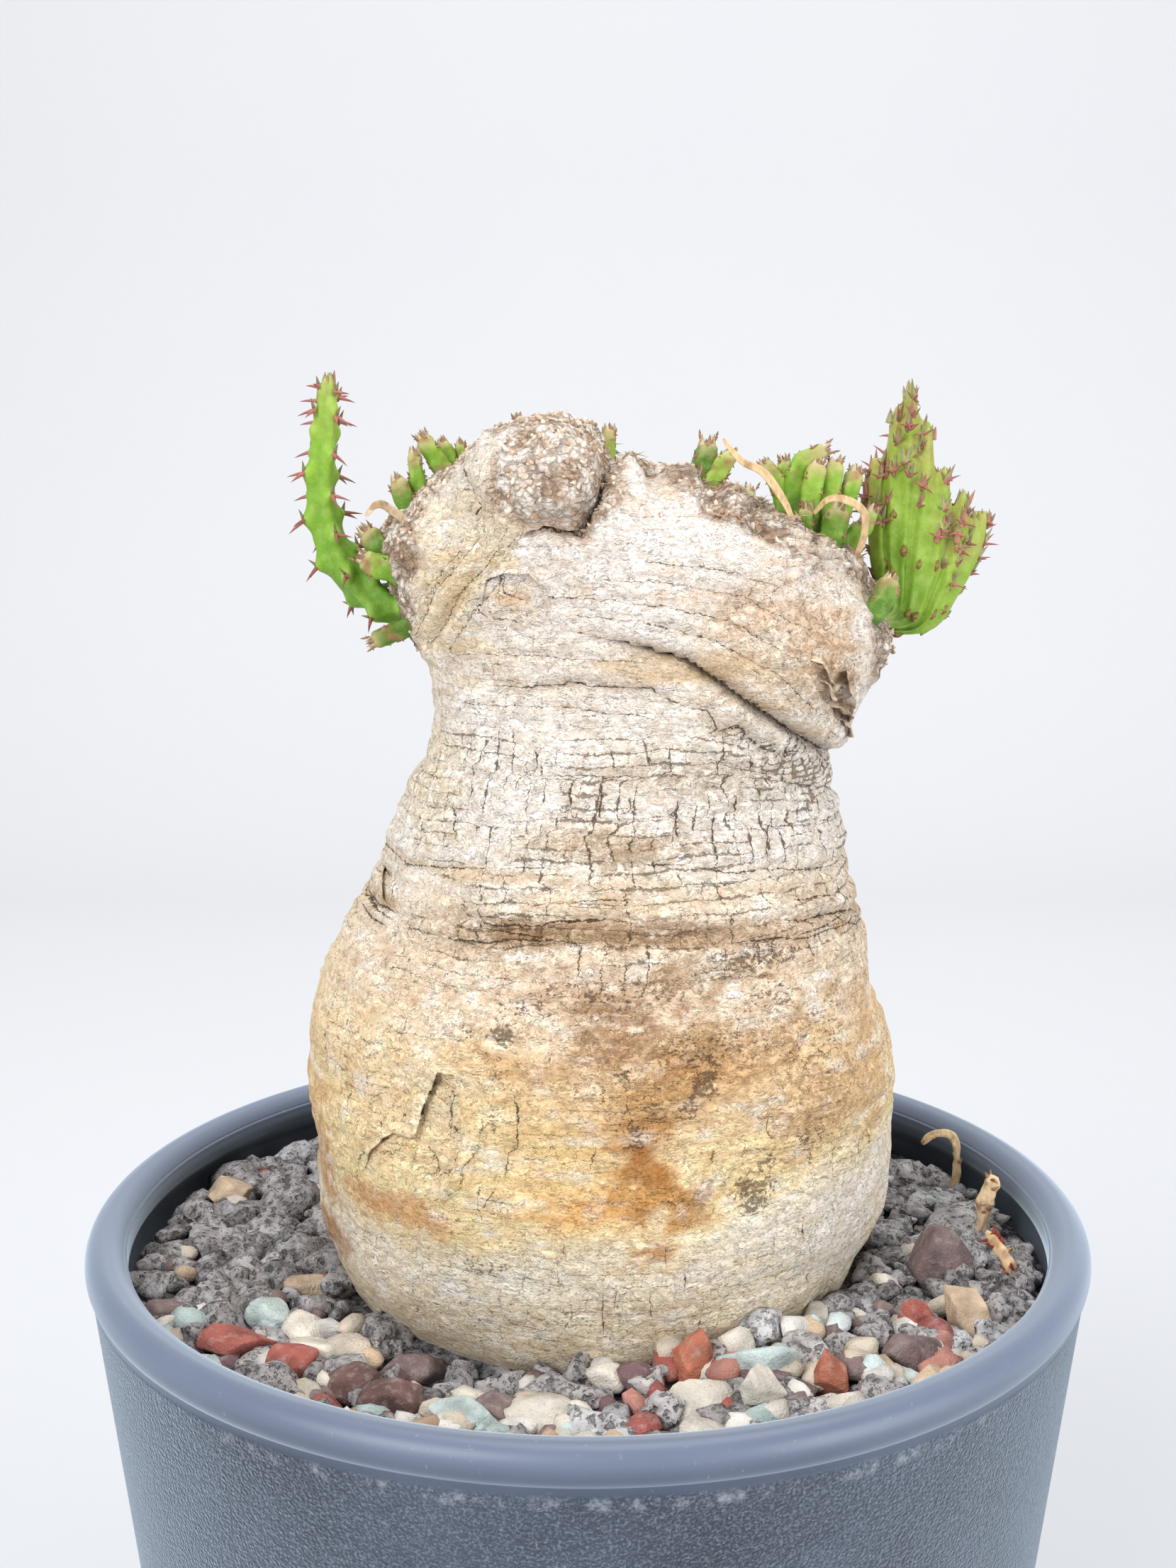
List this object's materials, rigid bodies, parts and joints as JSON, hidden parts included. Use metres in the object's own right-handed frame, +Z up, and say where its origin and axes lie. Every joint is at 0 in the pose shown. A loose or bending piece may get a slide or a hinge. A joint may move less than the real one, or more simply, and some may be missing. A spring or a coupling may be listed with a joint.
{
  "type": "potted crested euphorbia",
  "caption": "Potted crested euphorbia: bottle-shaped caudex with a crested head and short green shoots, in mixed gravel in a round tapered plastic pot.",
  "frame": {"origin": "middle of the pot's foot, on the surface it stands on", "axes": "+Z up along the pot's axis, -Y towards the front, +X to the right seen from the front"},
  "size_m": [0.15, 0.15, 0.2586],
  "materials": {
    "pot": "satin rim, fine grained body",
    "soil": "loose, matte",
    "gravel": "porous, matte",
    "caudex": "dry corky bark, matte",
    "shoot": "waxy succulent skin",
    "dry": "dry fibres, matte",
    "pebble_terracotta": "matte",
    "pebble_orange": "matte",
    "pebble_maroon": "matte",
    "pebble_mint": "matte",
    "pebble_cream": "matte",
    "pebble_sand": "matte",
    "pebble_mauve": "matte"
  },
  "bodies": {
    "root": {"pot": "pot", "soil": "soil", "gravel": "gravel", "caudex": "caudex", "shoot_tall_left": "shoot", "shoot_fan_right": "shoot", "stubs_right_crest": "shoot", "stub_right_shoulder": "shoot", "bud_right_low": "shoot", "buds_mid_crest": "shoot", "stub_behind_lump": "shoot", "bud_on_lump": "shoot", "stubs_left_high": "shoot", "stubs_left_shoulder": "shoot", "buds_left_crest": "shoot", "bud_left_low": "shoot", "stubs_back_left": "shoot", "stub_back_mid": "shoot", "stubs_back_right": "shoot", "pebble_red_left": "pebble_terracotta", "pebble_red_small": "pebble_terracotta", "pebble_maroon_left": "pebble_maroon", "pebble_maroon_round": "pebble_maroon", "pebble_green_left": "pebble_mint", "pebble_tan_back": "pebble_sand", "pebble_mint_front": "pebble_mint", "pebble_orange_mid": "pebble_orange", "pebble_mint_big": "pebble_mint", "pebble_cream_big": "pebble_cream", "pebble_orange_right": "pebble_orange", "pebble_purple": "pebble_mauve", "pebble_red_right": "pebble_terracotta", "pebble_tan_right": "pebble_sand", "pebble_round_grey": "pebble_mauve", "pebble_pink_front": "pebble_cream", "twig_hooked": "dry", "twig_gnarled": "dry", "twig_red": "dry", "dry_leaf_mid": "dry", "dry_leaf_right": "dry", "dry_leaf_left": "dry"}
  },
  "joints": []
}
